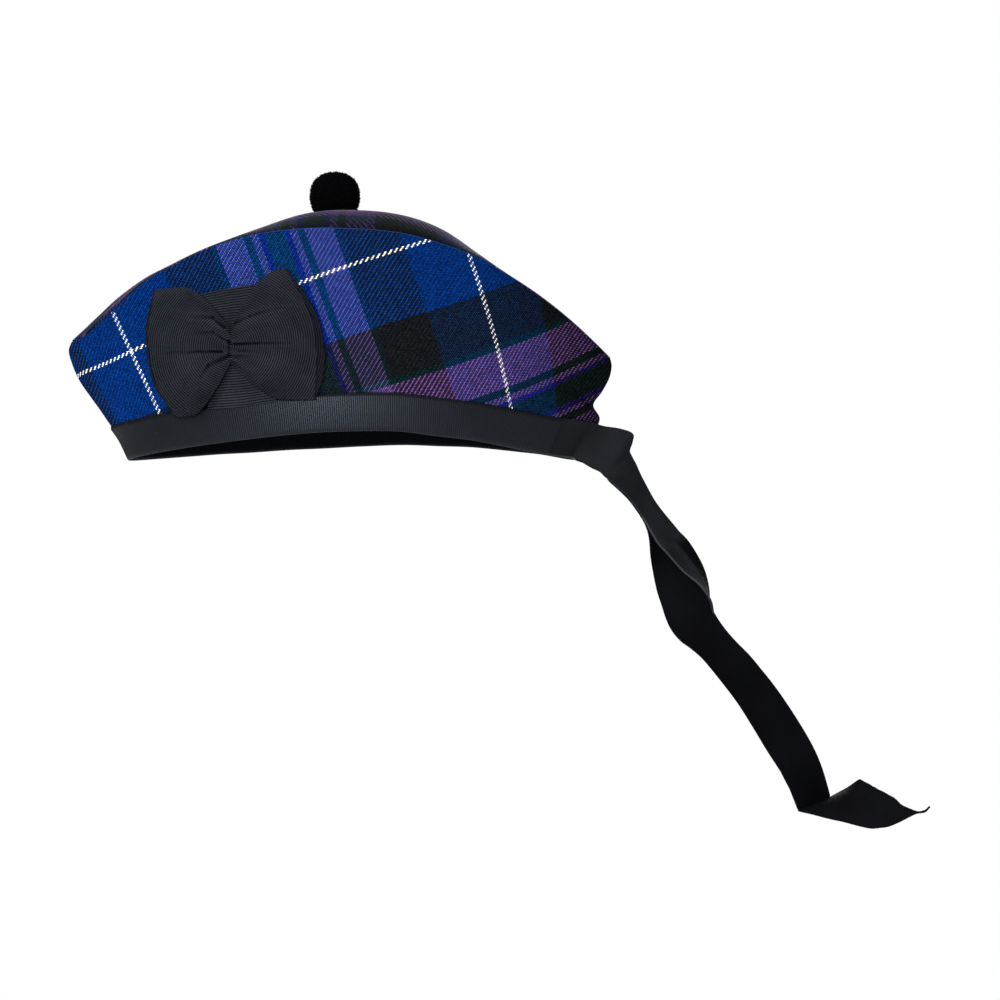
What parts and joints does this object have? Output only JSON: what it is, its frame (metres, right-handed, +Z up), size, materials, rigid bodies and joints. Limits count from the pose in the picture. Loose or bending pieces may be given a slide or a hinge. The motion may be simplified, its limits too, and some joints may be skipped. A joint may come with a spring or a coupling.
{
  "type": "glengarry",
  "caption": "Glengarry: a boat-shaped folded cap of tartan cloth with a black ribbon band, a ribbon bow, a pompom on top and ribbon tails at the back.",
  "frame": {"origin": "where the head goes in: the middle of the opening, level with the ends of the rim", "axes": "+X towards the back of the cap, where the tails hang; +Y towards the wearer's right; +Z up"},
  "size_m": [0.4713, 0.0982, 0.3629],
  "materials": {
    "tartan": "twill-woven wool, blue, black and purple check with a thin white line",
    "crown": "the same twill-woven wool, where its darker stripes run over the top",
    "ribbon": "black ribbed ribbon with a slight sheen",
    "pile": "short dense black wool pile"
  },
  "bodies": {
    "root": {"side_left": "tartan", "side_right": "tartan", "crown": "crown", "band": "ribbon", "bow_upright": "ribbon", "bow_wings": "ribbon", "toorie": "pile", "tail_left": "ribbon", "tail_right": "ribbon"}
  },
  "joints": []
}
